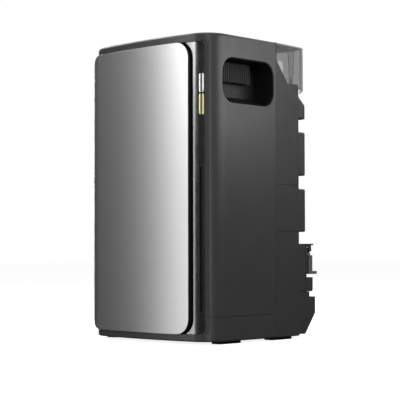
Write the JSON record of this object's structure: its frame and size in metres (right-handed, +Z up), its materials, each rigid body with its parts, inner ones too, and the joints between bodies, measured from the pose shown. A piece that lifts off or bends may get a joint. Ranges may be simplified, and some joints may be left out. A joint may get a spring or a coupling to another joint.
{
  "type": "portable air conditioner",
  "caption": "Compact upright portable air conditioner with a brushed metal front panel, side hand holds, a clear top rear hood and louvred rear filter blocks.",
  "frame": {"origin": "bottom centre of the object's bounding box, on the floor", "axes": "+Z up; -Y is the front, where the brushed panel is; +X is the side on the right when facing the front"},
  "size_m": [0.304, 0.336, 0.519],
  "materials": {
    "shell": "matte dark grey, fine texture",
    "frame_gloss": "gloss, smoked chrome look",
    "panel_metal": "brushed, satin, silver",
    "dark_plastic": "matte near-black",
    "hood_clear": "clear smoked",
    "key_silver": "satin silver",
    "key_gold": "satin pale gold",
    "window": "gloss black",
    "bright_trim": "polished",
    "board": "green solder mask",
    "rubber": "matte",
    "screw_steel": "plain",
    "latch_grey": "satin grey",
    "pan_steel": "galvanised",
    "compressor_black": "satin black",
    "copper": "copper",
    "fins": "mill finish fins",
    "inner_plastic": "light grey moulding",
    "fan_plastic": "matte",
    "motor_metal": "zinc",
    "battery_case": "satin"
  },
  "bodies": {
    "cabinet": {"main_shell": "shell", "base_shell": "shell", "rear_shell": "shell", "hood": "hood_clear", "hood_screws": "screw_steel", "front_frame": "frame_gloss", "outlet_grille": "dark_plastic", "light_bar": "window", "light_trim": "bright_trim", "control_board": "board", "handle_pocket_right": "dark_plastic", "handle_pocket_left": "dark_plastic", "handle_grip_right": "dark_plastic", "handle_grip_left": "dark_plastic", "top_block": "shell", "port_block": "shell", "flap_hinge": "screw_steel", "latch_bracket_right": "shell", "latch_bracket_left": "shell", "latch_pin_right": "screw_steel", "latch_pin_left": "screw_steel", "latch_screws": "screw_steel", "rear_skirt": "shell", "mains_inlet": "dark_plastic", "block_screws": "screw_steel", "foot_front_right": "rubber", "foot_front_left": "rubber", "foot_rear_right": "rubber", "foot_rear_left": "rubber", "base_pan": "pan_steel", "compressor": "compressor_black", "compressor_grommets": "rubber", "accumulator": "compressor_black", "condenser_coil": "fins", "evaporator_coil": "fins", "condenser_shroud": "fan_plastic", "condenser_motor": "motor_metal", "divider": "inner_plastic", "blower_motor": "motor_metal", "blower_scroll": "inner_plastic", "drain_tray": "inner_plastic", "discharge_pipe": "copper", "suction_pipe": "copper", "control_box": "inner_plastic", "battery": "battery_case"},
    "panel": {"front_panel": "panel_metal", "panel_backing": "dark_plastic", "panel_standoffs": "dark_plastic"},
    "mode_key": {"mode_key": "key_silver"},
    "power_key": {"power_key": "key_gold"},
    "service_flap": {"service_flap": "shell"},
    "latch_right": {"latch_right": "latch_grey"},
    "latch_left": {"latch_left": "latch_grey"},
    "filter_upper": {"filter_cover_upper": "shell", "filter_screen_upper": "inner_plastic"},
    "filter_lower": {"filter_cover_lower": "shell", "filter_screen_lower": "inner_plastic"},
    "drain_plug": {"drain_plug": "rubber"},
    "condenser_fan": {"condenser_fan": "fan_plastic"},
    "blower_wheel": {"blower_wheel": "fan_plastic"}
  },
  "joints": [
    {"name": "panel_pull", "type": "slide", "parent": "cabinet", "child": "panel", "axis": [0, -1, 0], "range_m": [0, 0.06]},
    {"name": "mode_key_press", "type": "slide", "parent": "cabinet", "child": "mode_key", "axis": [-0.4924, 0.8704, 0], "range_m": [0, 0.0012], "stiffness_N_per_m": 350, "springref_m": -0.0005},
    {"name": "power_key_press", "type": "slide", "parent": "cabinet", "child": "power_key", "axis": [-0.4924, 0.8704, 0], "range_m": [0, 0.0012], "stiffness_N_per_m": 350, "springref_m": -0.0005},
    {"name": "service_flap_hinge", "type": "hinge", "parent": "cabinet", "child": "service_flap", "pos_m": [0, 0.1391, 0.16], "axis": [1, 0, 0], "range_deg": [0, 100]},
    {"name": "latch_right_swing", "type": "hinge", "parent": "cabinet", "child": "latch_right", "pos_m": [0.1105, 0.148, 0.157], "axis": [1, 0, 0], "range_deg": [0, 70]},
    {"name": "latch_left_swing", "type": "hinge", "parent": "cabinet", "child": "latch_left", "pos_m": [-0.1105, 0.148, 0.157], "axis": [1, 0, 0], "range_deg": [0, 70]},
    {"name": "filter_upper_pull", "type": "slide", "parent": "cabinet", "child": "filter_upper", "axis": [0, 1, 0], "range_m": [0, 0.08]},
    {"name": "filter_lower_pull", "type": "slide", "parent": "cabinet", "child": "filter_lower", "axis": [0, 1, 0], "range_m": [0, 0.08]},
    {"name": "drain_plug_pull", "type": "slide", "parent": "cabinet", "child": "drain_plug", "axis": [0, 1, 0], "range_m": [0, 0.03]},
    {"name": "condenser_fan_spin", "type": "hinge", "parent": "cabinet", "child": "condenser_fan", "pos_m": [-0.003, 0.043, 0.278], "axis": [0, 1, 0], "continuous": true},
    {"name": "blower_wheel_spin", "type": "hinge", "parent": "cabinet", "child": "blower_wheel", "pos_m": [-0.004, -0.058, 0.292], "axis": [0, 1, 0], "continuous": true}
  ]
}
